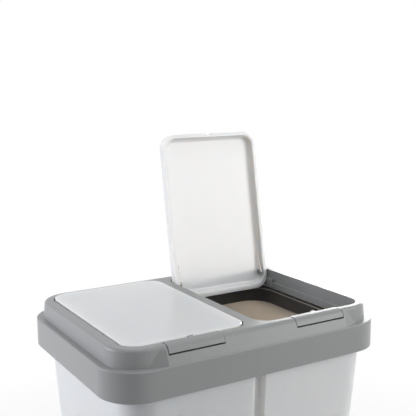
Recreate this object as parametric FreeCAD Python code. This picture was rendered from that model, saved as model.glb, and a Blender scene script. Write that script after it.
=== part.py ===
import FreeCAD, Part
import math
import os

V = FreeCAD.Vector
os.makedirs("parts", exist_ok=True)

# A double recycling bin: one tub with two compartments, a lid frame that lifts off it,
# two push-to-open lids, two bag rings.  Millimetres, Z up, the front towards -Y,
# the origin on the floor under the middle of the tub.

# ---- walls and clearances --------------------------------------------------------
wall = 2.6                      # every moulded wall of the lid frame
tub_wall = 2.4                  # walls of the tub
seat_gap = 0.3                  # between pieces that only rest on each other
pin_fit = 0.08                  # radial, pin in its bearing hole
side_gap = 2.0                  # lid to the side walls of its opening
end_gap = 2.5                   # lid to the front and rear walls of its opening
slip = 1.0                      # latch to the sides of its pocket
rim_gap = 0.8                   # tub's rim to the inside of the skirt

# ---- lid frame -------------------------------------------------------------------
ledge_z = 492.0                 # top of the wide skirt
skirt_w = 480.0
skirt_d = 355.6
skirt_h = 44.4
skirt_r = 58.0
upper_inset_x = 10.8            # the raised part is smaller than the skirt
upper_inset_y = 11.2
upper_r = 47.0
upper_h = 26.5
upper_draft = 2.2               # the raised part leans in by this much over its height
upper_round = 4.5
top_z = ledge_z + upper_h
bow_half = skirt_w / 2 - 82.0   # the front of the raised part bows out between these
bow_blend = 38.0                # and runs back into its corners over this length,
bow_back = 13.0                 # by this much
bow_foot_y = -skirt_d / 2 + 2.6
bow_mid_y = bow_foot_y + 5.6
bow_mid_h = upper_h - 11.5
bow_round = 10.5

# ---- one lid opening, measured from the middle of its lid ------------------------
bar_half = 9.0                  # half of the bar between the two openings
side_bar = 29.0                 # skirt's side to the opening
front_bar = 24.8                # skirt's front to the opening
rear_bar = 27.8                 # skirt's back to the opening
lid_w = skirt_w / 2 - side_bar - bar_half - 2 * side_gap
lid_mid_x = bar_half + side_gap + lid_w / 2
lid_front_y = -skirt_d / 2 + front_bar + end_gap
lid_rear_y = skirt_d / 2 - rear_bar - end_gap
lid_r = 26.0
lid_deep = 16.0
lid_front_z = top_z + 1.5
lid_rear_z = top_z + 3.5
lid_skin = 2.6
lid_rim = 7.0
lid_edge_round = 2.0
lid_pocket_round = 8.5
open_half = lid_w / 2 + side_gap
open_front_y = lid_front_y - end_gap
open_rear_y = lid_rear_y + end_gap
open_r = lid_r + side_gap
step_h = 5.0                    # the inner step of the opening, above the ledge
step_in = 3.5
curtain_h = 6.0                 # how far the opening's wall hangs below the ledge
step_end_y = lid_rear_y - 55.5  # no step behind here, where the lid's tail swings

# ---- lid hinge -------------------------------------------------------------------
hinge_y = lid_rear_y - 29.0
hinge_z = top_z - 5.0
open_angle = 100.0
pin_r = 3.0
pin_head_r = 4.5
pin_head_t = 1.5
pin_reach = lid_mid_x - 1.5     # from the middle of the lid to the pin's far end
block_in = 5.0                  # stop block that the open lid's rim leans on
block_top = top_z - 15.5

# ---- latch -----------------------------------------------------------------------
latch_w = 90.0
latch_wall = 2.2
latch_proud = 0.8
latch_foot_z = top_z - 10.5
latch_gap = 2.6                 # the dark gap under the latch
latch_back_y = lid_front_y - 1.9
latch_aside = 0.7               # the right latch sits this much to the left
latch_lip = 2.4                 # front lip of the pocket, under the latch
latch_pin_r = 1.5
latch_pin_y = lid_front_y - 10.0
latch_pin_z = top_z - 8.0
pocket_floor_z = top_z - 15.5
nib_w = 8.0
nib_long = 4.0
nib_t = 1.6
notch_w = nib_w + 2.4
notch_deep = nib_long - 1.9 + 0.8

# ---- springs ---------------------------------------------------------------------
wire_sides = 8
latch_coil_r = 1.9
latch_coil_wire = 0.6
latch_coil_turns = 4.0
latch_coil_y = latch_pin_y - 4.8
lid_coil_r = 4.3
lid_coil_wire = 1.3
lid_coil_turns = 2.60           # with the lid closed
lid_coil_leg = 34.0
lid_coil_lift = 9.0             # degrees that the leg leans towards the lid's panel
lid_unwind = open_angle / 360.0
lid_coil_long = lid_coil_wire * (1.1 * lid_coil_turns + 1) + 0.5

# ---- tub -------------------------------------------------------------------------
tub_in_x = 24.0                 # the skirt stands out from the tub's sides by this,
tub_in_y = 10.8                 # and from its front and back by this
tub_half_x = skirt_w / 2 - tub_in_x
tub_half_y = skirt_d / 2 - tub_in_y
tub_ref_z = ledge_z - skirt_h
tub_slope = math.tan(math.radians(3.5))
tub_r = 46.0
tub_top_z = ledge_z - wall - seat_gap
tub_floor_z = 8.0
tub_floor_t = 3.0
toe_h = 5.0                     # the bevelled foot of the tub's walls
toe_in = 2.0
groove_half = 9.4
groove_deep = 13.0
groove_r = 2.2
groove_top_z = ledge_z - 18.0
web_t = 3.0                     # the partition between the compartments
rim_lip_h = 9.0

# ---- bag rings -------------------------------------------------------------------
ring_top_z = ledge_z - 10.0
ring_t = 2.4
ring_half_x = lid_w / 2 - 4.5   # the inside of the band
ring_half_y = tub_half_y - 36.0
ring_r = 42.0
ring_band_h = 25.5
ring_edge_gap = 1.2
lug_w = 10.0
lug_h = 14.0
lug_in = 5.0
lug_apart = 50.0                # front and back lugs, each side of the lid's middle
lug_side_y = ring_half_y - 41.0


def rounded(points, z):
    """Closed wire through (x, y, radius) corners at height z, each corner an arc."""
    n = len(points)
    starts = []
    ends = []
    arcs = []
    for i in range(n):
        x, y, r = points[i]
        here = V(x, y, z)
        before = V(points[i - 1][0], points[i - 1][1], z)
        after = V(points[(i + 1) % n][0], points[(i + 1) % n][1], z)
        a = (before - here).normalize()
        b = (after - here).normalize()
        turn = math.acos(max(-1.0, min(1.0, a.dot(b))))
        if r <= 0:
            starts.append(here)
            ends.append(here)
            arcs.append(None)
            continue
        cut = r / math.tan(turn / 2)
        middle = here + (a + b).normalize() * (r / math.sin(turn / 2) - r)
        starts.append(here + a * cut)
        ends.append(here + b * cut)
        arcs.append(Part.Arc(here + a * cut, middle, here + b * cut).toShape())
    edges = []
    for i in range(n):
        if arcs[i] is not None:
            edges.append(arcs[i])
        nxt = starts[(i + 1) % n]
        if (nxt - ends[i]).Length > 1e-6:
            edges.append(Part.makeLine(ends[i], nxt))
    return Part.Wire(edges)


def rect(x0, x1, y0, y1, r):
    """Corners of a rectangle with one radius."""
    return [(x0, y0, r), (x1, y0, r), (x1, y1, r), (x0, y1, r)]


def prism(points, z0, z1):
    """Upright solid on a rounded outline."""
    return Part.Face(rounded(points, z0)).extrude(V(0, 0, z1 - z0))


def tapered(low_points, z0, high_points, z1):
    """Solid between two outlines of the same corners."""
    return Part.makeLoft([rounded(low_points, z0), rounded(high_points, z1)], True, True)


def block(x0, x1, y0, y1, z0, z1):
    """Plain box between two corners."""
    return Part.makeBox(x1 - x0, y1 - y0, z1 - z0, V(x0, y0, z0))


def along_x(section, x0, x1):
    """Solid of a (y, z) section run from x0 to x1."""
    wire = Part.makePolygon([V(x0, y, z) for y, z in section + section[:1]])
    return Part.Face(wire).extrude(V(x1 - x0, 0, 0))


def rod(x0, x1, y, z, r):
    """Round bar along X."""
    return Part.makeCylinder(r, x1 - x0, V(x0, y, z), V(1, 0, 0))


def coil(radius, wire_d, turns, pitch, leg=0.0):
    """Wound wire about the Z axis from height 0, ending in a straight leg.

    The wire has wire_sides flats of the same area as the round wire.
    """
    helix = Part.makeHelix(pitch, pitch * turns, radius)
    path = list(helix.Edges)
    if leg > 0:
        a = 2 * math.pi * turns
        end = V(radius * math.cos(a), radius * math.sin(a), pitch * turns)
        along = V(-math.sin(a), math.cos(a), pitch / (2 * math.pi * radius)).normalize()
        path.append(Part.makeLine(end, end + along * leg))
    step = 2 * math.pi / wire_sides
    reach = wire_d / 2 * math.sqrt(step / math.sin(step))
    ring = []
    for i in range(wire_sides):
        turn = step * (i + 0.5)
        ring.append(V(radius + reach * math.cos(turn), 0, reach * math.sin(turn)))
    section = Part.makePolygon(ring + ring[:1])
    return Part.Wire(path).makePipeShell([section], True, True)


def edges_at(shape, z, tol=0.01):
    """Edges that lie wholly at one height."""
    found = []
    for edge in shape.Edges:
        box = edge.BoundBox
        if abs(box.ZMin - z) < tol and abs(box.ZMax - z) < tol:
            found.append(edge)
    return found


# ---- lid frame -------------------------------------------------------------------
def opening(side, grow, z0, z1):
    """Column of one lid opening's outline, grown outwards by grow."""
    mid = side * lid_mid_x
    pts = rect(mid - open_half - grow, mid + open_half + grow,
               open_front_y - grow, open_rear_y + grow, open_r + grow)
    return prism(pts, z0, z1)


def skirt_block(inset, z0, z1):
    """The wide lower part of the frame, or its hollow."""
    pts = rect(-skirt_w / 2 + inset, skirt_w / 2 - inset,
               -skirt_d / 2 + inset, skirt_d / 2 - inset, skirt_r - inset)
    return prism(pts, z0, z1)


def upper_block(inset, z0, z1):
    """The raised part of the frame, leaning in towards its top, or its hollow."""
    half_x = skirt_w / 2 - upper_inset_x - inset
    half_y = skirt_d / 2 - upper_inset_y - inset
    lean0 = upper_draft * (z0 - ledge_z) / upper_h
    lean1 = upper_draft * (z1 - ledge_z) / upper_h
    low = rect(-half_x + lean0, half_x - lean0, -half_y + lean0, half_y - lean0,
               upper_r - inset)
    high = rect(-half_x + lean1, half_x - lean1, -half_y + lean1, half_y - lean1,
                upper_r - inset)
    return tapered(low, z0, high, z1)


def bow_section(grow, foot_z):
    """(y, z) section of the bowed front, as a chain of points round its soft edge."""
    slope = math.atan2(bow_mid_y - bow_foot_y, bow_mid_h)
    cz = top_z - bow_round
    cy = bow_mid_y + bow_round + (cz - ledge_z - bow_mid_h) * math.tan(slope)
    pts = []
    steps = 8
    for i in range(steps + 1):
        turn = slope + (math.pi / 2 - slope) * i / steps
        pts.append((cy - (bow_round + grow) * math.cos(turn),
                    cz + (bow_round + grow) * math.sin(turn)))
    first = pts[0]
    lean = math.tan(slope)
    foot = (first[0] + (foot_z - first[1]) * lean, foot_z)
    return [foot] + pts


def bow_block(inset, foot_z, half, back_y):
    """Solid of the bowed front with its tapered ends, or its hollow."""
    section = bow_section(-inset, foot_z)
    top = section[-1][1]
    wires = []
    for x, shift in ((-half - bow_blend, bow_back), (-half, 0), (half, 0),
                     (half + bow_blend, bow_back)):
        points = [V(x, y + shift, z) for y, z in section]
        points = points + [V(x, back_y, top), V(x, back_y, foot_z)]
        wires.append(Part.makePolygon(points + points[:1]))
    return Part.makeLoft(wires, True, True)


def make_lid_frame():
    """Skirt, raised part, two openings with steps, latch pockets and hinge bores."""
    skirt = skirt_block(0, ledge_z - skirt_h, ledge_z)
    skirt = skirt.makeFillet(2.0, edges_at(skirt, ledge_z))
    upper = upper_block(0, ledge_z - 1, top_z)
    upper = upper.makeFillet(upper_round, edges_at(upper, top_z))
    bow_root_y = open_front_y + 13.0
    frame = skirt.fuse([upper, bow_block(0, ledge_z - 1, bow_half, bow_root_y)])
    hollow = skirt_block(wall, ledge_z - skirt_h - 1, ledge_z - wall)
    hollow = hollow.fuse([upper_block(wall, ledge_z - wall - 1, top_z - wall),
                          bow_block(wall, ledge_z - wall - 1, bow_half - wall, bow_root_y)])
    frame = frame.cut(hollow)
    low_z = ledge_z - curtain_h
    for side in (-1, 1):
        mid = side * lid_mid_x
        curtain = opening(side, wall, low_z, top_z - 1)
        frame = frame.fuse(curtain)
        frame = frame.cut(opening(side, -step_in, low_z - 1, top_z + 1))
        frame = frame.cut(opening(side, 0, ledge_z + step_h, top_z + 1))
        behind = block(mid - skirt_w, mid + skirt_w, step_end_y, skirt_d, low_z - 1,
                       top_z + 1)
        frame = frame.cut(opening(side, 0, low_z - 1, top_z + 1).common(behind))
        ahead = block(mid - skirt_w, mid + skirt_w, -skirt_d, step_end_y - wall,
                      low_z - 1, ledge_z + step_h - wall)
        under = opening(side, wall + 1, low_z - 1, ledge_z + step_h - wall)
        under = under.cut(opening(side, wall - step_in, low_z - 2, top_z))
        frame = frame.cut(under.common(ahead))
    for side in (-1, 1):
        frame = frame.fuse(stop_blocks(side))
        frame = latch_pocket(frame, side)
        mid = side * lid_mid_x
        bore = rod(mid - pin_reach - 0.5, mid + pin_reach + 0.5, hinge_y, hinge_z, pin_r)
        frame = frame.cut(bore)
    return frame.removeSplitter()


def stop_blocks(side):
    """Two blocks that the rim of the open lid leans on."""
    rim_low = lid_point(lid_rear_y, lid_rear_z - lid_deep)
    rim_high = lid_point(lid_front_y, lid_front_z - lid_deep)
    lean = (rim_high[0] - rim_low[0]) / (rim_high[1] - rim_low[1])
    low_z = ledge_z - curtain_h
    low_y = rim_low[0] + (low_z - rim_low[1]) * lean - seat_gap
    high_y = rim_low[0] + (block_top - rim_low[1]) * lean - seat_gap
    section = [(step_end_y - wall, low_z), (low_y, low_z), (high_y, block_top),
               (step_end_y - wall, block_top)]
    mid = side * lid_mid_x
    edge = open_half + wall / 2
    pair = []
    for hand in (-1, 1):
        x0 = mid + hand * (open_half - block_in)
        x1 = mid + hand * edge
        pair.append(along_x(section, min(x0, x1), max(x0, x1)))
    return pair


def lid_point(y, z):
    """Where a point of the closed lid is when the lid is fully open."""
    a = math.radians(open_angle)
    dy = y - hinge_y
    dz = z - hinge_z
    return (hinge_y + dy * math.cos(a) + dz * math.sin(a),
            hinge_z - dy * math.sin(a) + dz * math.cos(a))


def latch_pocket(frame, side):
    """Cuts the latch's pocket in the front edge and walls it."""
    mid = side * lid_mid_x
    half = latch_w / 2 + slip
    back = open_front_y - wall
    house = bow_section(-0.3, pocket_floor_z - wall)
    house = house + [(back + 0.5, house[-1][1]), (back + 0.5, pocket_floor_z - wall)]
    frame = frame.fuse(along_x(house, mid - half - wall, mid + half + wall))
    pocket = block(mid - half, mid + half, -skirt_d, back, pocket_floor_z, top_z + 5)
    sill_z = latch_foot_z - latch_gap
    lip_y = bow_section(0, sill_z)[0][0] + latch_lip
    lip = block(mid - half, mid + half, -skirt_d, lip_y, pocket_floor_z - 1, sill_z)
    seat = Part.makeCylinder(latch_coil_r + latch_coil_wire, sill_z - pocket_floor_z + 1,
                             V(mid, latch_coil_y, pocket_floor_z - 1))
    inside = pocket.cut([lip, seat])
    frame = frame.cut(inside)
    frame = frame.cut(block(mid - half, mid + half, back - 1, open_front_y + 1,
                            top_z - wall, top_z + 5))
    frame = frame.cut(rod(mid - half - wall - 1, mid + half + wall + 1,
                          latch_pin_y, latch_pin_z, latch_pin_r))
    return frame


# ---- lids ------------------------------------------------------------------------
def make_lid(side):
    """Shallow tray with a broad rim, a catch notch and two pin bores, closed."""
    mid = side * lid_mid_x
    half = lid_w / 2
    low = lid_front_z - lid_deep
    rise = lid_rear_z - lid_front_z

    def slab(x_in, y_in, r, drop_top, drop_low):
        plan = rect(mid - half + x_in, mid + half - x_in, lid_front_y + y_in,
                    lid_rear_y - y_in, r)
        body = prism(plan, low - 10, lid_rear_z + 10)
        side_view = [(lid_front_y - 5, low - drop_low), (lid_rear_y + 5,
                     low + rise - drop_low), (lid_rear_y + 5, lid_rear_z - drop_top),
                     (lid_front_y - 5, lid_front_z - drop_top)]
        return body.common(along_x(side_view, mid - half - 5, mid + half + 5))

    tray = slab(0, 0, lid_r, 0, 0)
    top = [e for e in tray.Edges if e.BoundBox.ZMin > lid_front_z - 1]
    tray = tray.makeFillet(lid_edge_round, top)
    pocket = slab(lid_rim, lid_rim, lid_r - 6, lid_skin, 1.0)
    roof = [e for e in pocket.Edges if e.BoundBox.ZMin > lid_front_z - lid_skin - 1]
    pocket = pocket.makeFillet(lid_pocket_round, roof)
    tray = tray.cut(pocket)
    tray = tray.cut(block(mid - notch_w / 2, mid + notch_w / 2, lid_front_y - 1,
                          lid_front_y + notch_deep, low - 1, lid_rear_z + 1))
    tray = tray.cut(rod(mid - half - 1, mid + half + 1, hinge_y, hinge_z,
                        pin_r + pin_fit))
    seat = half - lid_rim
    tray = tray.cut(rod(mid - seat, mid + seat, hinge_y, hinge_z,
                        lid_coil_r + lid_coil_wire / 2 + 0.2))
    return tray.removeSplitter()


def make_lid_pin(side, hand):
    """Headed hinge pin, pushed through its spring and the lid's rim into the frame."""
    mid = side * lid_mid_x
    face = lid_w / 2 - lid_rim - lid_coil_long
    pin = rod(face - pin_head_t, pin_reach, hinge_y, hinge_z, pin_r)
    head = rod(face - pin_head_t, face, hinge_y, hinge_z, pin_head_r)
    pin = pin.fuse(head).removeSplitter()
    end = [e for e in pin.Edges if abs(e.BoundBox.XMax - pin_reach) < 0.01
           and abs(e.BoundBox.XMin - pin_reach) < 0.01]
    pin = pin.makeChamfer(0.6, end)
    if hand < 0:
        pin = pin.mirror(V(0, 0, 0), V(1, 0, 0))
    pin.translate(V(mid, 0, 0))
    return pin


def make_lid_spring(side, hand):
    """Wound spring round a hinge pin inside the lid, its long leg along the lid."""
    pitch = lid_coil_wire * 1.1
    turns = lid_coil_turns - (lid_unwind if side > 0 else 0.0)
    spring = coil(lid_coil_r, lid_coil_wire, turns, pitch, lid_coil_leg)
    spring.rotate(V(0, 0, 0), V(0, 0, 1), 180.0 - 360.0 * turns)
    spring.rotate(V(0, 0, 0), V(0, 1, 0), -90)
    spring.rotate(V(0, 0, 0), V(1, 0, 0), -lid_coil_lift)
    start = lid_w / 2 - lid_rim - lid_coil_wire / 2 - 0.2
    spring.translate(V(start, hinge_y, hinge_z))
    if hand < 0:
        spring = spring.mirror(V(0, 0, 0), V(1, 0, 0))
    spring.translate(V(side * lid_mid_x, 0, 0))
    return spring


# ---- latches ---------------------------------------------------------------------
def make_latch(side):
    """Rocker cover on a cross pin, hollow behind, with a nib over the lid's notch."""
    mid = side * lid_mid_x
    half = latch_w / 2
    outer = bow_section(latch_proud, latch_foot_z)
    top = outer[-1][1]
    cheek_y = open_front_y - wall - slip
    under = top - latch_wall
    body = along_x(outer + [(latch_back_y, top), (latch_back_y, under), (cheek_y, under),
                            (cheek_y, latch_pin_z), (latch_pin_y, latch_foot_z)],
                   mid - half, mid + half)
    inner = bow_section(latch_proud - latch_wall, latch_foot_z - 1)
    inner_top = inner[-1][1]
    inside = along_x(inner + [(latch_back_y + 1, inner_top),
                              (latch_back_y + 1, latch_foot_z - 1)],
                     mid - half + latch_wall, mid + half - latch_wall)
    body = body.cut(inside)
    nib = block(mid - nib_w / 2, mid + nib_w / 2, latch_back_y - 1,
                latch_back_y + nib_long, top - nib_t, top)
    body = body.fuse(nib)
    body = body.cut(rod(mid - half - 1, mid + half + 1, latch_pin_y, latch_pin_z,
                        latch_pin_r + pin_fit))
    return body.removeSplitter()


def make_latch_pin(side):
    """Straight steel rod across the latch pocket."""
    mid = side * lid_mid_x
    reach = latch_w / 2 + slip + wall
    return rod(mid - reach, mid + reach, latch_pin_y, latch_pin_z, latch_pin_r)


def make_latch_spring(side):
    """Coil that stands on the pocket's sill under the latch's front edge."""
    z0 = latch_foot_z - latch_gap + latch_coil_wire / 2 + 0.1
    under = latch_cover_z(latch_coil_y) - latch_coil_wire / 2 - 0.1
    pitch = (under - z0) / latch_coil_turns
    spring = coil(latch_coil_r, latch_coil_wire, latch_coil_turns, pitch)
    spring.translate(V(side * lid_mid_x, latch_coil_y, z0))
    return spring


def latch_cover_z(y):
    """Height of the latch's inner face above a point of the pocket's floor."""
    points = bow_section(latch_proud - latch_wall, latch_foot_z)
    reach = y - latch_coil_r - latch_coil_wire / 2
    for a, b in zip(points[:-1], points[1:]):
        if a[0] <= reach <= b[0]:
            return a[1] + (b[1] - a[1]) * (reach - a[0]) / (b[0] - a[0])
    return points[-1][1]


# ---- tub -------------------------------------------------------------------------
def tub_half(z):
    """Half width and half depth of the tub's outside at a height."""
    grow = tub_slope * (z - tub_ref_z)
    return tub_half_x + grow, tub_half_y + grow


def tub_outline(z, inset=0.0):
    """Outside corners of the tub, with a groove in the middle of front and back."""
    a, b = tub_half(z)
    a -= inset
    b -= inset
    g = groove_half
    r = groove_r
    pts = []
    for s in (-1, 1):
        back = s * (b - groove_deep)
        pts += [(s * -a, s * b, tub_r), (s * -g, s * b, r), (s * -g, back, r * 0.6),
                (s * g, back, r * 0.6), (s * g, s * b, r), (s * a, s * b, tub_r)]
    return pts


def cavity_outline(side, z, inset=0.0):
    """Inside corners of one compartment, or of the hollow under its floor."""
    a, b = tub_half(z)
    a -= tub_wall + inset
    b -= tub_wall + inset
    g = groove_half + tub_wall
    w = web_t / 2
    back = b - groove_deep
    r = tub_r - tub_wall
    s = side
    return [(s * a, -b, r), (s * a, b, r), (s * g, b, 3.0), (s * g, back, 2.5),
            (s * w, back, 3.0), (s * w, -back, 3.0), (s * g, -back, 2.5),
            (s * g, -b, 3.0)]


def make_tub():
    """Tapered one-piece tub, its partition, rim, foot rim and the lugs for the rings."""
    a, b = tub_half(tub_top_z)
    tub = tapered(tub_outline(toe_h), toe_h, tub_outline(tub_top_z), tub_top_z)
    tub = tub.fuse(tapered(tub_outline(0, toe_in), 0, tub_outline(toe_h), toe_h))
    rim_x = skirt_w / 2 - wall - rim_gap
    rim_y = skirt_d / 2 - wall - rim_gap
    rim_r = skirt_r - wall - rim_gap
    rim = prism(rect(-rim_x, rim_x, -rim_y, rim_y, rim_r), tub_top_z - rim_lip_h, tub_top_z)
    under = prism(rect(-rim_x + tub_wall, rim_x - tub_wall, -rim_y + tub_wall,
                       rim_y - tub_wall, rim_r - tub_wall),
                  tub_top_z - rim_lip_h - 1, tub_top_z - tub_wall)
    cap = prism(rect(-groove_half - 4, groove_half + 4, -b + 1, b - 1, 0),
                groove_top_z, tub_top_z)
    tub = tub.fuse([rim.cut(under), cap])
    for side in (-1, 1):
        floor = tub_floor_z + tub_floor_t
        hole = tapered(cavity_outline(side, floor), floor,
                       cavity_outline(side, tub_top_z + 1), tub_top_z + 1)
        tub = tub.cut(hole)
    for side in (-1, 1):
        tub = tub.cut(prism(cavity_outline(side, 0, toe_in), -1, tub_floor_z))
    web_top = ring_top_z - ring_t - seat_gap
    tub = tub.cut(block(-groove_half, groove_half, -b + groove_deep + tub_wall,
                        b - groove_deep - tub_wall, web_top, tub_top_z + 2))
    return tub.fuse(tub_lugs()).removeSplitter()


def tub_lugs():
    """Small gussets inside the tub that the bag rings' flanges lie on."""
    top = ring_top_z - ring_t - 0.05
    a, b = tub_half(top)
    lugs = []
    for sx in (-1, 1):
        for y in (-lug_side_y, lug_side_y):
            x1 = sx * (a - tub_wall + 0.5)
            x0 = sx * (a - tub_wall - lug_in)
            wire = Part.makePolygon([V(x1, y - lug_w / 2, top), V(x0, y - lug_w / 2, top),
                                     V(x1, y - lug_w / 2, top - lug_h),
                                     V(x1, y - lug_w / 2, top)])
            lugs.append(Part.Face(wire).extrude(V(0, lug_w, 0)))
            for sy in (-1, 1):
                y1 = sy * (b - tub_wall + 0.5)
                y0 = sy * (b - tub_wall - lug_in)
                x = sx * (lid_mid_x + (lug_apart if y > 0 else -lug_apart))
                wire = Part.makePolygon([V(x - lug_w / 2, y1, top), V(x - lug_w / 2, y0, top),
                                         V(x - lug_w / 2, y1, top - lug_h),
                                         V(x - lug_w / 2, y1, top)])
                lugs.append(Part.Face(wire).extrude(V(lug_w, 0, 0)))
    return lugs


# ---- bag rings -------------------------------------------------------------------
def make_bag_ring(side):
    """Flange that lies on the lugs, with a band inside that the bag is drawn over."""
    a, b = tub_half(ring_top_z)
    s = side
    out_x = a - tub_wall - ring_edge_gap
    out_y = b - tub_wall - ring_edge_gap
    in_x = groove_half + tub_wall + ring_edge_gap
    plate = prism([(s * in_x, -out_y, 6), (s * out_x, -out_y, tub_r - 4),
                   (s * out_x, out_y, tub_r - 4), (s * in_x, out_y, 6)],
                  ring_top_z - ring_t, ring_top_z)
    mid = s * lid_mid_x
    hx = ring_half_x
    hy = ring_half_y
    band = prism(rect(mid - hx - ring_t, mid + hx + ring_t, -hy - ring_t, hy + ring_t,
                      ring_r + ring_t), ring_top_z - ring_band_h, ring_top_z)
    ring = plate.fuse(band)
    ring = ring.cut(prism(rect(mid - hx, mid + hx, -hy, hy, ring_r),
                          ring_top_z - ring_band_h - 1, ring_top_z + 1))
    ring = ring.removeSplitter()
    inner = [e for e in edges_at(ring, ring_top_z)
             if abs(e.CenterOfMass.x - mid) < hx + 0.5 and abs(e.CenterOfMass.y) < hy + 0.5]
    return ring.makeFillet(1.2, inner)


# ---- everything in place ---------------------------------------------------------
names = {-1: "left", 1: "right"}
hands = {-1: "inner", 1: "outer"}
parts = {"tub": make_tub(), "lid_frame": make_lid_frame()}
for side in (-1, 1):
    name = names[side]
    latch = make_latch(side)
    if side > 0:
        latch.translate(V(-latch_aside, 0, 0))
    moving = {name + "_lid": make_lid(side)}
    for hand in (-1, 1):
        which = hands[hand * side]
        parts[name + "_lid_pin_" + which] = make_lid_pin(side, hand)
        moving[name + "_lid_spring_" + which] = make_lid_spring(side, hand)
    if side > 0:
        for piece in moving.values():
            piece.rotate(V(0, hinge_y, hinge_z), V(1, 0, 0), -open_angle)
    parts.update(moving)
    parts[name + "_latch"] = latch
    parts[name + "_latch_pin"] = make_latch_pin(side)
    parts[name + "_latch_spring"] = make_latch_spring(side)
    parts[name + "_bag_ring"] = make_bag_ring(side)

for node, shape in parts.items():
    shape.exportStep("parts/" + node + ".step")
    b = shape.BoundBox
    print("%-22s solids %d valid %s vol %9.1f  x %7.1f %7.1f  y %7.1f %7.1f  z %7.1f %7.1f"
          % (node, len(shape.Solids), shape.isValid(), shape.Volume, b.XMin, b.XMax,
             b.YMin, b.YMax, b.ZMin, b.ZMax))
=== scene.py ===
"""Looks of a double recycling bin: a white tub, a grey lid frame and two glossy lids."""

import math

import bpy
from bpy.props import FloatProperty, FloatVectorProperty, PointerProperty
from mathutils import Euler, Matrix, Vector


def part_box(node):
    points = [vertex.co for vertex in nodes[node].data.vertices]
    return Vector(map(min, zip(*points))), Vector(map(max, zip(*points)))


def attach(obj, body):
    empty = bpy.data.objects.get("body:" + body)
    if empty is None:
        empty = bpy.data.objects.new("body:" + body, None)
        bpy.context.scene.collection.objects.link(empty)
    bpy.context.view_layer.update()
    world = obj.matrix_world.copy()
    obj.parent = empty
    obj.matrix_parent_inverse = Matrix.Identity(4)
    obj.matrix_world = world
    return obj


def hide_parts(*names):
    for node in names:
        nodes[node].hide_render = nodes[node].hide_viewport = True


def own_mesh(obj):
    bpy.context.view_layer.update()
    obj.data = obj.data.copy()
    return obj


bl_info = {
    "name": "Double Recycling Bin",
    "version": (1, 0, 0),
    "blender": (4, 5, 0),
    "location": "View3D > Sidebar > Bin",
    "description": "Finishes a double recycling bin and sets it on a pale studio floor",
    "category": "Object",
}

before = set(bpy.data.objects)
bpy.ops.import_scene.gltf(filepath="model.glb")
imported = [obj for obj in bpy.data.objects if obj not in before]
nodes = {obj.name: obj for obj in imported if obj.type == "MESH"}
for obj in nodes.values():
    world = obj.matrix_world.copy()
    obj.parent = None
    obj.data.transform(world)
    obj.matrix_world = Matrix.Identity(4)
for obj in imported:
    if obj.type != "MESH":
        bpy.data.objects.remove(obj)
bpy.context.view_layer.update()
SIDES = ("left", "right")
ENDS = ("inner", "outer")
MM = 0.001

# Outline of the tub, as far as the painted shade on its inside follows it
TUB_WALL = 2.4 * MM
TUB_FLOOR = 9.5 * MM                # between the two faces of the floor
TUB_RIM_Z = 447.6 * MM              # where the half width and half depth hold
TUB_HALF_X = 216.0 * MM
TUB_HALF_Y = 167.0 * MM
TUB_CORNER = 46.0 * MM
TUB_SLOPE = math.tan(math.radians(3.5))
GROOVE_HALF = 10.6 * MM             # half the width of the groove in the front and back
GROOVE_DEEP = 14.2 * MM

# Inner face of the bag rings' band
LID_MIDDLE = 110.0 * MM             # from the bin's middle to that of a lid and its ring
RING_HALF_X = 94.5 * MM
RING_HALF_Y = 131.0 * MM
RING_CORNER = 42.0 * MM
LIP_WIDE = (1.3 * MM, 1.6 * MM)     # where the painted highlight on the upper edge fades out, outwards
LIP_DEEP = (1.5 * MM, 1.1 * MM)     # and downwards

MERGE_WITHIN = 0.001 * MM

# Skin of the mouldings and of the steel
FINE_GRAIN_SHARE = 0.6
BROAD_GRAIN_SCALE = 0.31            # scale of the broad grain against the fine grain
CLOUD_SHARE = 0.65                  # clouds against flow lines in the drift of the colour
FLOW_STRETCH = (60.0, 60.0, 3.0)
GLOSS_DRIFT = 0.12
GRAIN_HEIGHT = 0.15 * MM
WIRE_LINE_HEIGHT = 0.05 * MM
WIRE_LINE_SCALE = 6000.0
SCUFF_DENSITY = 0.35
SCUFF_TONE = 0.25                   # how much of the rubbed tone a scuff shows
SCUFF_ROUGHNESS = 0.12
RUB_POLISH = 0.3                    # share of the roughness that a rubbed edge loses
COAT_ROUGHNESS = 0.08
GLOW_COLOURS = (1.0, 0.90, 0.80)    # reach of red, green and blue light in the white plastic
TARNISH_TONE = 0.62

# Stage
FLOOR_TONE = 0.60
FLOOR_FADE = (0.35, 1.1)            # from here to there the floor fades to white
FLOOR_NEAR_WHITE = 0.7
SKY_TINT = (0.97, 0.98, 1.0)
LAMP_AIM = (0, 0, 0.45)
# Name, place, width, height, watts and tint of each softbox
LAMPS = (("left_rear_softbox", (-1.90, 0.85, 0.80), 1.1, 0.9, 28.0, (0.94, 0.95, 1.0)),
         ("right_rear_softbox", (1.75, 1.25, 0.75), 1.2, 1.1, 26.0, (1.0, 0.99, 0.98)),
         ("front_right_softbox", (1.38, -1.48, 1.0), 1.2, 1.5, 21.3, (1.0, 1.0, 0.99)),
         ("overhead_softbox", (0.1, -0.1, 2.2), 1.6, 1.2, 10.5, (0.98, 1.0, 1.0)))


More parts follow.
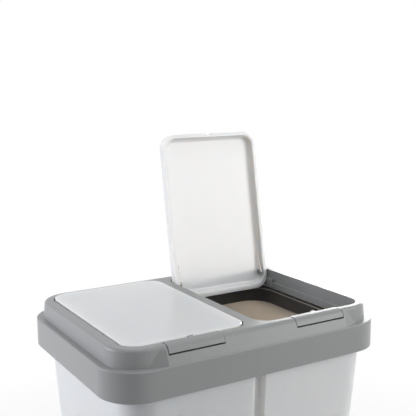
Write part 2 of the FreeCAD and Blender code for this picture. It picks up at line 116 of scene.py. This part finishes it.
# ---- settings --------------------------------------------------------------------
class BinFinish(bpy.types.PropertyGroup):
    """Colours and surface values of the bin's plastics and metal."""

    # The compartments' inner faces get a darker, warmer tone than the tub: painted shade of
    # their dim inside.
    tub_inside_shade: FloatVectorProperty(
        name="Tub inside", description="Warmer tone of the compartments' inner faces",
        subtype="COLOR", size=3, min=0, max=1, default=(0.76, 0.72, 0.68))
    tub_white: FloatVectorProperty(
        name="Tub white", description="Base colour of the moulded tub",
        subtype="COLOR", size=3, min=0, max=1, default=(0.90, 0.885, 0.865))
    frame_grey: FloatVectorProperty(
        name="Frame grey", description="Base colour of the lid frame and the latches",
        subtype="COLOR", size=3, min=0, max=1, default=(0.316, 0.323, 0.325))
    lid_white: FloatVectorProperty(
        name="Lid white", description="Base colour of the two glossy lids",
        subtype="COLOR", size=3, min=0, max=1, default=(0.84, 0.84, 0.84))
    ring_black: FloatVectorProperty(
        name="Ring black", description="Base colour of the bag rings",
        subtype="COLOR", size=3, min=0, max=1, default=(0.050, 0.049, 0.048))
    # Beige tone laid on the bag rings' upper inner edge: painted highlight.
    ring_lip_highlight: FloatVectorProperty(
        name="Ring lip", description="Worn tone of the bag rings' upper inner edge",
        subtype="COLOR", size=3, min=0, max=1, default=(0.26, 0.235, 0.20))
    pin_grey: FloatVectorProperty(
        name="Pin grey", description="Base colour of the hinge pins",
        subtype="COLOR", size=3, min=0, max=1, default=(0.24, 0.243, 0.25))
    spring_steel: FloatVectorProperty(
        name="Spring steel", description="Tint of the bare spring wire and latch pins",
        subtype="COLOR", size=3, min=0, max=1, default=(0.58, 0.55, 0.51))
    grain_scale: FloatProperty(
        name="Grain scale", description="How fine the spark-eroded grain of the mouldings is",
        min=100, max=5000, default=1500)
    glow_depth: FloatProperty(
        name="Glow depth", description="How far light creeps through the white mouldings",
        subtype="DISTANCE", unit="LENGTH", min=0.0, max=0.05, default=0.007)
    # Width of the lightened edges: rubbed wear on most pieces, painted highlight on the bag
    # rings.
    rub_and_highlight_width: FloatProperty(
        name="Rubbed edge width", description="Reach of the polish that handling gives an edge",
        subtype="DISTANCE", unit="LENGTH", min=0.0002, max=0.01, default=0.0015)
    gap_reach: FloatProperty(
        name="Gap reach", description="How near another face darkens a narrow gap",
        subtype="DISTANCE", unit="LENGTH", min=0.0005, max=0.05, default=0.004)


class BinStage(bpy.types.PropertyGroup):
    """Camera, lamps and floor."""

    camera_place: FloatVectorProperty(
        name="Camera place", description="Where the camera stands", subtype="TRANSLATION",
        unit="LENGTH", size=3, default=(-0.6178, -1.0398, 0.8707))
    camera_yaw: FloatProperty(
        name="Camera yaw", description="Turn from straight ahead towards the right",
        subtype="ANGLE", default=math.radians(31.17))
    camera_pitch: FloatProperty(
        name="Camera pitch", description="Tilt below the horizon", subtype="ANGLE",
        default=math.radians(9.36))
    camera_roll: FloatProperty(
        name="Camera roll", description="Lean of the picture", subtype="ANGLE",
        default=math.radians(-0.39))
    lens: FloatProperty(
        name="Lens", description="Focal length on a 36 mm wide sensor", min=10, max=300,
        default=65.5)
    floor_size: FloatProperty(
        name="Floor size", description="Side of the square floor", subtype="DISTANCE",
        unit="LENGTH", min=2, max=100, default=30.0)
    sky_light: FloatProperty(
        name="Sky light", description="Strength of the even light from all round", min=0,
        max=2, default=0.25)


# ---- shared shader groups --------------------------------------------------------
def new_group(name, inputs, outputs):
    """Empty shader node group with named value and colour sockets."""
    group = bpy.data.node_groups.new(name, "ShaderNodeTree")
    for label, kind, value in inputs:
        socket = group.interface.new_socket(label, in_out="INPUT", socket_type=kind)
        socket.default_value = value
    for label, kind in outputs:
        group.interface.new_socket(label, in_out="OUTPUT", socket_type=kind)
    start = group.nodes.new("NodeGroupInput")
    end = group.nodes.new("NodeGroupOutput")
    start.location = (-900, 0)
    end.location = (500, 0)
    return group, start, end


def add_math(tree, operation, a, b=None, clamp=False):
    """Math node fed by sockets or numbers; gives its output socket."""
    node = tree.nodes.new("ShaderNodeMath")
    node.operation = operation
    node.use_clamp = clamp
    for index, value in enumerate((a, b)):
        if value is None:
            continue
        if isinstance(value, (int, float)):
            node.inputs[index].default_value = value
        else:
            tree.links.new(value, node.inputs[index])
    return node.outputs[0]


def add_noise(tree, vector, scale, detail, roughness=0.5):
    """Noise texture on a vector socket; gives its value socket."""
    node = tree.nodes.new("ShaderNodeTexNoise")
    node.inputs["Detail"].default_value = detail
    node.inputs["Roughness"].default_value = roughness
    tree.links.new(vector, node.inputs["Vector"])
    if isinstance(scale, (int, float)):
        node.inputs["Scale"].default_value = scale
    else:
        tree.links.new(scale, node.inputs["Scale"])
    return node.outputs["Fac"]


def add_range(tree, value, low, high, to_low, to_high):
    """Clamped remap of a value socket; gives the result socket."""
    node = tree.nodes.new("ShaderNodeMapRange")
    tree.links.new(value, node.inputs["Value"])
    for label, number in (("From Min", low), ("From Max", high), ("To Min", to_low),
                          ("To Max", to_high)):
        node.inputs[label].default_value = number
    return node.outputs["Result"]


def add_tint(tree, factor, a, b):
    """Mix of two colour sockets or colours by a factor socket."""
    node = tree.nodes.new("ShaderNodeMix")
    node.data_type = "RGBA"
    for label, kind, value in (("Factor", "VALUE", factor), ("A", "RGBA", a),
                               ("B", "RGBA", b)):
        socket = [s for s in node.inputs if s.name == label and s.type == kind][0]
        if isinstance(value, bpy.types.NodeSocket):
            tree.links.new(value, socket)
        else:
            socket.default_value = (*value, 1.0)
    return [s for s in node.outputs if s.type == "RGBA"][0]


def add_place(tree):
    """Position on the piece, in metres in the bin's own frame."""
    return tree.nodes.new("ShaderNodeTexCoord").outputs["Object"]


def add_height(tree, place):
    """Height part of a position socket."""
    node = tree.nodes.new("ShaderNodeSeparateXYZ")
    tree.links.new(place, node.inputs[0])
    return node.outputs["Z"]


def add_seen(tree):
    """1 for what the camera, a reflection or a view through glass looks at."""
    path = tree.nodes.new("ShaderNodeLightPath")
    return add_math(tree, "MAXIMUM", path.outputs["Is Camera Ray"],
                    add_math(tree, "MAXIMUM", path.outputs["Is Glossy Ray"],
                             path.outputs["Is Transmission Ray"]))


def make_grain_group():
    """Spark-eroded grain: a height for bump and a fine mask."""
    group, start, end = new_group(
        "Moulded Grain",
        [("Vector", "NodeSocketVector", (0, 0, 0)), ("Scale", "NodeSocketFloat", 1500.0)],
        [("Height", "NodeSocketFloat"), ("Speckle", "NodeSocketFloat")])
    fine = add_noise(group, start.outputs["Vector"], start.outputs["Scale"], 3.0, 0.6)
    coarser = add_math(group, "MULTIPLY", start.outputs["Scale"], BROAD_GRAIN_SCALE)
    broad = add_noise(group, start.outputs["Vector"], coarser, 2.0)
    height = add_math(group, "ADD", add_math(group, "MULTIPLY", fine, FINE_GRAIN_SHARE),
                      add_math(group, "MULTIPLY", broad, 1 - FINE_GRAIN_SHARE))
    group.links.new(height, end.inputs["Height"])
    group.links.new(add_range(group, fine, 0.35, 0.7, 0.0, 1.0), end.inputs["Speckle"])
    return group


def make_drift_group():
    """Slow drift of a moulding's colour and gloss, with faint vertical flow lines."""
    group, start, end = new_group(
        "Melt Drift",
        [("Vector", "NodeSocketVector", (0, 0, 0)), ("Colour", "NodeSocketColor", (1, 1, 1, 1)),
         ("Amount", "NodeSocketFloat", 0.03), ("Roughness", "NodeSocketFloat", 0.4)],
        [("Colour", "NodeSocketColor"), ("Roughness", "NodeSocketFloat")])
    clouds = add_noise(group, start.outputs["Vector"], 7.0, 3.0)
    stretch = group.nodes.new("ShaderNodeMapping")
    stretch.inputs["Scale"].default_value = FLOW_STRETCH
    group.links.new(start.outputs["Vector"], stretch.inputs["Vector"])
    streaks = add_noise(group, stretch.outputs["Vector"], 1.0, 2.0)
    both = add_math(group, "ADD", add_math(group, "MULTIPLY", clouds, CLOUD_SHARE),
                    add_math(group, "MULTIPLY", streaks, 1 - CLOUD_SHARE))
    drift = add_range(group, both, 0.3, 0.7, -1.0, 1.0)
    shade = add_math(group, "ADD", 1.0, add_math(group, "MULTIPLY", drift,
                                                 start.outputs["Amount"]))
    tone = group.nodes.new("ShaderNodeVectorMath")
    tone.operation = "SCALE"
    group.links.new(start.outputs["Colour"], tone.inputs[0])
    group.links.new(shade, tone.inputs["Scale"])
    gloss = add_math(group, "ADD", 1.0, add_math(group, "MULTIPLY", drift, GLOSS_DRIFT))
    rough = add_math(group, "MULTIPLY", start.outputs["Roughness"], gloss)
    group.links.new(tone.outputs["Vector"], end.inputs["Colour"])
    group.links.new(rough, end.inputs["Roughness"])
    return group


def make_edge_group():
    """Mask of the convex edges and corners that handling polishes; on the bag rings it also
    carries a painted highlight.
    """
    group, start, end = new_group(
        "Rubbed And Lit Edge",
        [("Vector", "NodeSocketVector", (0, 0, 0)), ("Width", "NodeSocketFloat", 0.0015)],
        [("Mask", "NodeSocketFloat")])
    soft = group.nodes.new("ShaderNodeBevel")
    soft.samples = 4
    group.links.new(start.outputs["Width"], soft.inputs["Radius"])
    true = group.nodes.new("ShaderNodeNewGeometry")
    dot = group.nodes.new("ShaderNodeVectorMath")
    dot.operation = "DOT_PRODUCT"
    group.links.new(soft.outputs["Normal"], dot.inputs[0])
    group.links.new(true.outputs["Normal"], dot.inputs[1])
    edge = add_range(group, dot.outputs["Value"], 0.70, 0.97, 1.0, 0.0)
    patches = add_noise(group, start.outputs["Vector"], 90.0, 3.0)
    worn = add_math(group, "MULTIPLY", edge, add_range(group, patches, 0.35, 0.65, 0.3, 1.0))
    group.links.new(worn, end.inputs["Mask"])
    return group


def make_scuff_group():
    """Fine hairline scuffs, denser in some places."""
    group, start, end = new_group(
        "Fine Scuffs",
        [("Vector", "NodeSocketVector", (0, 0, 0)), ("Density", "NodeSocketFloat", 0.5)],
        [("Mask", "NodeSocketFloat")])
    total = None
    for turn, scale in ((0.4, 30.0), (1.7, 42.0), (2.6, 24.0)):
        mapping = group.nodes.new("ShaderNodeMapping")
        mapping.inputs["Rotation"].default_value = (turn, turn * 0.7, turn * 1.3)
        mapping.inputs["Scale"].default_value = (scale, scale * 30.0, scale)
        group.links.new(start.outputs["Vector"], mapping.inputs["Vector"])
        line = add_noise(group, mapping.outputs["Vector"], 1.0, 1.0)
        line = add_range(group, line, 0.70, 0.74, 0.0, 1.0)
        total = line if total is None else add_math(group, "MAXIMUM", total, line)
    patches = add_noise(group, start.outputs["Vector"], 9.0, 2.0)
    here = add_math(group, "MULTIPLY", add_range(group, patches, 0.45, 0.7, 0.0, 1.0),
                    start.outputs["Density"])
    group.links.new(add_math(group, "MULTIPLY", total, here, True), end.inputs["Mask"])
    return group


def make_gap_group():
    """Mask of narrow gaps and inner corners, where light hardly reaches; the colour laid by it
    is painted shade.
    """
    group, start, end = new_group(
        "Gap Shade",
        [("Reach", "NodeSocketFloat", 0.004), ("Depth", "NodeSocketFloat", 0.30)],
        [("Mask", "NodeSocketFloat")])
    near = group.nodes.new("ShaderNodeAmbientOcclusion")
    near.samples = 8
    group.links.new(start.outputs["Reach"], near.inputs["Distance"])
    open_share = add_math(group, "DIVIDE", near.outputs["AO"], start.outputs["Depth"], True)
    group.links.new(add_math(group, "SUBTRACT", 1.0, open_share), end.inputs["Mask"])
    return group


def make_outline_group():
    """Distance outwards from an upright rounded rectangle, and a mask of its groove."""
    group, start, end = new_group(
        "Rounded Outline",
        [("Vector", "NodeSocketVector", (0, 0, 0))]
        + [(label, "NodeSocketFloat", 0.0)
           for label in ("Middle", "Half Width", "Half Depth", "At Height", "Slope", "Corner",
                         "Groove Half", "Groove Deep")],
        [("Distance", "NodeSocketFloat"), ("Groove", "NodeSocketFloat")])
    place = group.nodes.new("ShaderNodeSeparateXYZ")
    group.links.new(start.outputs["Vector"], place.inputs[0])
    across = add_math(group, "ABSOLUTE", place.outputs["X"])
    width = add_math(group, "ABSOLUTE",
                     add_math(group, "SUBTRACT", across, start.outputs["Middle"]))
    depth = add_math(group, "ABSOLUTE", place.outputs["Y"])
    rise = add_math(group, "SUBTRACT", place.outputs["Z"], start.outputs["At Height"])
    grow = add_math(group, "MULTIPLY", rise, start.outputs["Slope"])
    squares = []
    for reach, label in ((width, "Half Width"), (depth, "Half Depth")):
        half = add_math(group, "ADD", start.outputs[label], grow)
        past = add_math(group, "ADD", add_math(group, "SUBTRACT", reach, half),
                        start.outputs["Corner"])
        past = add_math(group, "MAXIMUM", past, 0.0)
        squares.append(add_math(group, "MULTIPLY", past, past))
    from_middle = add_math(group, "SQRT", add_math(group, "ADD", *squares))
    group.links.new(add_math(group, "SUBTRACT", from_middle, start.outputs["Corner"]),
                    end.inputs["Distance"])
    half = add_math(group, "ADD", start.outputs["Half Depth"], grow)
    back = add_math(group, "SUBTRACT", half, start.outputs["Groove Deep"])
    groove = add_math(group, "MULTIPLY",
                      add_math(group, "GREATER_THAN", start.outputs["Groove Half"], across),
                      add_math(group, "GREATER_THAN", depth, back))
    group.links.new(groove, end.inputs["Groove"])
    return group


GROUPS = {}


def shared_group(name):
    """The shader group of that name, made when first asked for."""
    makers = {"Moulded Grain": make_grain_group, "Melt Drift": make_drift_group,
              "Rubbed And Lit Edge": make_edge_group, "Fine Scuffs": make_scuff_group,
              "Rounded Outline": make_outline_group, "Gap Shade": make_gap_group}
    if name not in GROUPS:
        GROUPS[name] = makers[name]()
    return GROUPS[name]


# ---- materials -------------------------------------------------------------------
def place_group(tree, name, vector=None, **values):
    """Puts a shared group in a material and sets its inputs by label."""
    node = tree.nodes.new("ShaderNodeGroup")
    node.node_tree = shared_group(name)
    if vector is not None:
        tree.links.new(vector, node.inputs["Vector"])
    for label, value in values.items():
        node.inputs[label.replace("_", " ")].default_value = value
    return node


def new_material(name):
    """Material with its Principled shader and Object coordinates."""
    material = bpy.data.materials.new(name)
    material.use_nodes = True
    tree = material.node_tree
    shader = tree.nodes["Principled BSDF"]
    return material, tree, shader, add_place(tree)


def add_relief(tree, shader, skin, strength, height):
    """Bump of a grain group on a shader."""
    bump = tree.nodes.new("ShaderNodeBump")
    bump.inputs["Strength"].default_value = strength
    bump.inputs["Distance"].default_value = height
    tree.links.new(skin.outputs["Height"], bump.inputs["Height"])
    tree.links.new(bump.outputs["Normal"], shader.inputs["Normal"])


def tint_where(material, mask, colour):
    """Lays a colour over a finished material where a mask socket says."""
    tree = material.node_tree
    base = tree.nodes["Principled BSDF"].inputs["Base Color"]
    tree.links.new(add_tint(tree, mask, base.links[0].from_socket, colour), base)


def moulded_plastic(name, colour, roughness, drift, grain, grain_depth, edge_rub_and_highlight, coat=0.0,
                    specular=0.5, glow=0.0, painted_gap_shade=0.0):
    """Injection-moulded plastic: drifting colour, grain, lightened edges (rubbed wear, and a
    painted highlight where the lightening is strong), faint scuffs and, where asked, painted
    shade in gaps.
    """
    finish = bpy.context.scene.bin_finish
    material, tree, shader, place = new_material(name)
    melt = place_group(tree, "Melt Drift", place, Colour=(*colour, 1.0), Amount=drift,
                       Roughness=roughness)
    skin = place_group(tree, "Moulded Grain", place, Scale=finish.grain_scale * grain)
    edge = place_group(tree, "Rubbed And Lit Edge", place, Width=finish.rub_and_highlight_width)
    scuffs = place_group(tree, "Fine Scuffs", place, Density=SCUFF_DENSITY)
    # Lighter tone for rubbed edges and scuffs; where the lightening is strong it is a painted
    # highlight.
    worn_and_lit_tone = tuple(min(1.0, c * (1 + edge_rub_and_highlight) + 0.01 * edge_rub_and_highlight) for c in colour)
    rubbed = add_tint(tree, edge.outputs["Mask"], melt.outputs["Colour"], worn_and_lit_tone)
    marked = add_tint(tree, add_math(tree, "MULTIPLY", scuffs.outputs["Mask"], SCUFF_TONE),
                      rubbed, worn_and_lit_tone)
    # Darkens the colour in narrow gaps and inner corners: painted shade.
    if painted_gap_shade:
        gap = place_group(tree, "Gap Shade", Reach=finish.gap_reach)
        darker = tuple(c * (1 - painted_gap_shade) for c in colour)
        marked = add_tint(tree, gap.outputs["Mask"], marked, darker)
    tree.links.new(marked, shader.inputs["Base Color"])
    smoother = add_math(tree, "MULTIPLY", edge.outputs["Mask"], -RUB_POLISH * roughness)
    rougher = add_math(tree, "MULTIPLY", scuffs.outputs["Mask"], SCUFF_ROUGHNESS)
    rough = add_math(tree, "ADD", melt.outputs["Roughness"], smoother)
    tree.links.new(add_math(tree, "ADD", rough, rougher, True), shader.inputs["Roughness"])
    add_relief(tree, shader, skin, grain_depth, GRAIN_HEIGHT)
    shader.inputs["Specular IOR Level"].default_value = specular
    shader.inputs["Coat Weight"].default_value = coat
    shader.inputs["Coat Roughness"].default_value = COAT_ROUGHNESS
    shader.inputs["Subsurface Weight"].default_value = glow
    shader.inputs["Subsurface Radius"].default_value = GLOW_COLOURS
    shader.inputs["Subsurface Scale"].default_value = finish.glow_depth
    return material


def drawn_steel(name, tint, roughness):
    """Drawn wire or ground rod with fine lines and a little tarnish."""
    material, tree, shader, place = new_material(name)
    lines = place_group(tree, "Moulded Grain", place, Scale=WIRE_LINE_SCALE)
    tarnish = add_noise(tree, place, 160.0, 3.0)
    darker = tuple(c * TARNISH_TONE for c in tint)
    colour = add_tint(tree, add_range(tree, tarnish, 0.45, 0.75, 0.0, 0.7), tint, darker)
    tree.links.new(colour, shader.inputs["Base Color"])
    rough = add_math(tree, "ADD", roughness,
                     add_math(tree, "MULTIPLY", lines.outputs["Speckle"], 0.15))
    tree.links.new(rough, shader.inputs["Roughness"])
    shader.inputs["Metallic"].default_value = 1.0
    add_relief(tree, shader, lines, 0.15, WIRE_LINE_HEIGHT)
    return material


def finish_piece(node, material):
    """Gives a piece its material in every slot."""
    if not node.data.materials:
        node.data.materials.append(material)
    for index in range(len(node.data.materials)):
        node.data.materials[index] = material


def finish_node(name, material):
    """Gives a CAD node its material."""
    finish_piece(nodes[name], material)


def copy_node(name, new_name):
    """Copy of a CAD node's mesh as a piece of its own, its loose triangles merged."""
    bpy.ops.object.select_all(action="DESELECT")
    piece = bpy.data.objects.new(new_name, nodes[name].data.copy())
    bpy.context.scene.collection.objects.link(piece)
    piece.select_set(True)
    bpy.context.view_layer.objects.active = piece
    bpy.ops.object.mode_set(mode="EDIT")
    bpy.ops.mesh.select_all(action="SELECT")
    bpy.ops.mesh.remove_doubles(threshold=MERGE_WITHIN)
    bpy.ops.object.mode_set(mode="OBJECT")
    return piece


# ---- operators: the bin's pieces -------------------------------------------------
class BIN_OT_tub(bpy.types.Operator):
    """Finish the white tub"""

    bl_idname = "bin.tub"
    bl_label = "Tub"

    def execute(self, context):
        finish = context.scene.bin_finish
        white = moulded_plastic("Tub White", finish.tub_white, 0.42, 0.015, 1.0, 0.25, 0.06,
                                glow=1.0)
        tree = white.node_tree
        place = add_place(tree)
        outline = place_group(tree, "Rounded Outline", place, Half_Width=TUB_HALF_X,
                              Half_Depth=TUB_HALF_Y, At_Height=TUB_RIM_Z, Slope=TUB_SLOPE,
                              Corner=TUB_CORNER, Groove_Half=GROOVE_HALF,
                              Groove_Deep=GROOVE_DEEP)
        # Darker, warmer tone inside the compartments above the floor, groove left out: painted
        # shade.
        within = add_math(tree, "LESS_THAN", outline.outputs["Distance"], -0.5 * TUB_WALL)
        above = add_math(tree, "GREATER_THAN", add_height(tree, place), TUB_FLOOR)
        inside = add_math(tree, "SUBTRACT", add_math(tree, "MULTIPLY", within, above),
                          outline.outputs["Groove"], True)
        tint_where(white, inside, finish.tub_inside_shade)
        finish_node("tub", white)
        return {"FINISHED"}


class BIN_OT_lid_frame(bpy.types.Operator):
    """Finish the grey lid frame and the two latches"""

    bl_idname = "bin.lid_frame"
    bl_label = "Lid frame and latches"

    def execute(self, context):
        finish = context.scene.bin_finish
        # The frame's colour is darkened in narrow gaps and around the latches: painted shade.
        grey = moulded_plastic("Frame Grey", finish.frame_grey, 0.32, 0.02, 1.0, 0.35, 0.25,
                               specular=0.36, painted_gap_shade=0.8)
        finish_node("lid_frame", grey)
        for side in SIDES:
            finish_node(side + "_latch", grey)
        return {"FINISHED"}


class BIN_OT_lids(bpy.types.Operator):
    """Finish the two glossy lids"""

    bl_idname = "bin.lids"
    bl_label = "Lids"

    def execute(self, context):
        finish = context.scene.bin_finish
        gloss = moulded_plastic("Lid White", finish.lid_white, 0.14, 0.01, 0.5, 0.04, 0.05,
                                coat=0.2, specular=0.4, glow=1.0)
        for side in SIDES:
            finish_node(side + "_lid", gloss)
        return {"FINISHED"}


class BIN_OT_hinges(bpy.types.Operator):
    """Finish the hinge pins, the wound springs and the latch pins"""

    bl_idname = "bin.hinges"
    bl_label = "Hinge pins and springs"

    def execute(self, context):
        finish = context.scene.bin_finish
        pin = moulded_plastic("Pin Grey", finish.pin_grey, 0.35, 0.02, 1.5, 0.2, 0.3)
        wire = drawn_steel("Spring Wire", finish.spring_steel, 0.30)
        rod = drawn_steel("Latch Rod", tuple(c * 1.1 for c in finish.spring_steel), 0.22)
        for side in SIDES:
            for end in ENDS:
                finish_node(side + "_lid_pin_" + end, pin)
                finish_node(side + "_lid_spring_" + end, wire)
            finish_node(side + "_latch_pin", rod)
            spring = side + "_latch_spring"
            coil = copy_node(spring, side + "_latch_coil")
            finish_piece(coil, wire)
            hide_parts(spring)
            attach(coil, "lid_frame")
            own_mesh(coil)
        return {"FINISHED"}


class BIN_OT_bag_rings(bpy.types.Operator):
    """Finish the black bag rings"""

    bl_idname = "bin.bag_rings"
    bl_label = "Bag rings"

    def execute(self, context):
        finish = context.scene.bin_finish
        # The strong edge lightening of the black rings is a painted highlight, not wear.
        black = moulded_plastic("Ring Black", finish.ring_black, 0.36, 0.04, 1.0, 0.3, 1.2)
        tree = black.node_tree
        place = add_place(tree)
        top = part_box("right_bag_ring")[1][2]
        outline = place_group(tree, "Rounded Outline", place, Middle=LID_MIDDLE,
                              Half_Width=RING_HALF_X, Half_Depth=RING_HALF_Y,
                              Corner=RING_CORNER)
        # A thin beige line along the upper inner edge of the band: painted highlight.
        lip = add_range(tree, outline.outputs["Distance"], *LIP_WIDE, 1.0, 0.0)
        high = add_range(tree, add_height(tree, place), top - LIP_DEEP[0], top - LIP_DEEP[1],
                         0.0, 1.0)
        tint_where(black, add_math(tree, "MULTIPLY", lip, high), finish.ring_lip_highlight)
        for side in SIDES:
            finish_node(side + "_bag_ring", black)
        return {"FINISHED"}


# ---- operators: the stage --------------------------------------------------------
def area_lamp(name, place, width, height, watts, tint):
    """Rectangular softbox at a place, turned to the lid frame."""
    lamp = bpy.data.lights.new(name, "AREA")
    lamp.shape = "RECTANGLE"
    lamp.size = width
    lamp.size_y = height
    lamp.energy = watts
    lamp.color = tint
    holder = bpy.data.objects.new(name, lamp)
    bpy.context.scene.collection.objects.link(holder)
    holder.location = place
    towards = Vector(LAMP_AIM) - Vector(place)
    holder.rotation_euler = towards.to_track_quat("-Z", "Y").to_euler()


def make_floor(stage):
    """Pale floor that keeps the bin's shadow and fades into the white behind."""
    bpy.ops.object.select_all(action="DESELECT")
    bpy.ops.mesh.primitive_plane_add(size=stage.floor_size, location=(0, 0, 0))
    floor = bpy.context.object
    floor.name = "studio_floor"
    material = bpy.data.materials.new("Studio Floor")
    material.use_nodes = True
    tree = material.node_tree
    shader = tree.nodes["Principled BSDF"]
    shader.inputs["Base Color"].default_value = (FLOOR_TONE, FLOOR_TONE, FLOOR_TONE, 1)
    shader.inputs["Roughness"].default_value = 0.9
    shader.inputs["Specular IOR Level"].default_value = 0.0
    glow = tree.nodes.new("ShaderNodeEmission")
    glow.inputs["Color"].default_value = (1, 1, 1, 1)
    glow.inputs["Strength"].default_value = 1.0
    away = tree.nodes.new("ShaderNodeVectorMath")
    away.operation = "LENGTH"
    tree.links.new(add_place(tree), away.inputs[0])
    whiteness = add_range(tree, away.outputs["Value"], *FLOOR_FADE, FLOOR_NEAR_WHITE, 1.0)
    mix = tree.nodes.new("ShaderNodeMixShader")
    tree.links.new(add_math(tree, "MULTIPLY", add_seen(tree), whiteness), mix.inputs["Fac"])
    tree.links.new(shader.outputs["BSDF"], mix.inputs[1])
    tree.links.new(glow.outputs["Emission"], mix.inputs[2])
    tree.links.new(mix.outputs["Shader"], tree.nodes["Material Output"].inputs["Surface"])
    floor.data.materials.append(material)


def make_world(stage):
    """Even sky light, white where the camera or a reflection looks at it."""
    world = bpy.data.worlds.new("White Studio")
    bpy.context.scene.world = world
    world.use_nodes = True
    tree = world.node_tree
    tree.nodes.clear()
    out = tree.nodes.new("ShaderNodeOutputWorld")
    soft = tree.nodes.new("ShaderNodeBackground")
    soft.inputs["Color"].default_value = (*SKY_TINT, 1)
    soft.inputs["Strength"].default_value = stage.sky_light
    white = tree.nodes.new("ShaderNodeBackground")
    white.inputs["Color"].default_value = (1, 1, 1, 1)
    white.inputs["Strength"].default_value = 1.0
    mix = tree.nodes.new("ShaderNodeMixShader")
    tree.links.new(add_seen(tree), mix.inputs["Fac"])
    tree.links.new(soft.outputs["Background"], mix.inputs[1])
    tree.links.new(white.outputs["Background"], mix.inputs[2])
    tree.links.new(mix.outputs["Shader"], out.inputs["Surface"])


def make_camera(stage):
    """Camera at the photograph's viewing angle."""
    lens = bpy.data.cameras.new("photo_camera")
    lens.sensor_width = 36.0
    lens.lens = stage.lens
    lens.clip_start = 0.05
    camera = bpy.data.objects.new("photo_camera", lens)
    bpy.context.scene.collection.objects.link(camera)
    turn = Euler((math.pi / 2 - stage.camera_pitch, 0, -stage.camera_yaw), "XYZ").to_matrix()
    lean = Matrix.Rotation(stage.camera_roll, 3, "Z")
    camera.matrix_world = Matrix.Translation(stage.camera_place) @ (turn @ lean).to_4x4()
    bpy.context.scene.camera = camera


class BIN_OT_stage(bpy.types.Operator):
    """Set the floor, the white surroundings, the lamps and the camera"""

    bl_idname = "bin.stage"
    bl_label = "Stage"

    def execute(self, context):
        stage = context.scene.bin_stage
        context.scene.view_settings.view_transform = "Standard"
        make_floor(stage)
        make_world(stage)
        make_camera(stage)
        for lamp in LAMPS:
            area_lamp(*lamp)
        return {"FINISHED"}


class BIN_PT_sidebar(bpy.types.Panel):
    """Steps and settings of the bin"""

    bl_label = "Recycling Bin"
    bl_idname = "BIN_PT_sidebar"
    bl_space_type = "VIEW_3D"
    bl_region_type = "UI"
    bl_category = "Bin"

    def draw(self, context):
        layout = self.layout
        for step in STEPS:
            layout.operator(step.bl_idname)
        for settings in (context.scene.bin_finish, context.scene.bin_stage):
            box = layout.box()
            for name in settings.__annotations__:
                box.prop(settings, name)


STEPS = (BIN_OT_tub, BIN_OT_lid_frame, BIN_OT_lids, BIN_OT_hinges, BIN_OT_bag_rings,
         BIN_OT_stage)
CLASSES = (BinFinish, BinStage) + STEPS + (BIN_PT_sidebar,)


def register():
    for item in CLASSES:
        bpy.utils.register_class(item)
    bpy.types.Scene.bin_finish = PointerProperty(type=BinFinish)
    bpy.types.Scene.bin_stage = PointerProperty(type=BinStage)


def unregister():
    del bpy.types.Scene.bin_stage
    del bpy.types.Scene.bin_finish
    for item in reversed(CLASSES):
        bpy.utils.unregister_class(item)


def main():
    """Builds everything in order."""
    register()
    for step in STEPS:
        group, name = step.bl_idname.split(".")
        getattr(getattr(bpy.ops, group), name)()


if __name__ == "__main__":
    main()
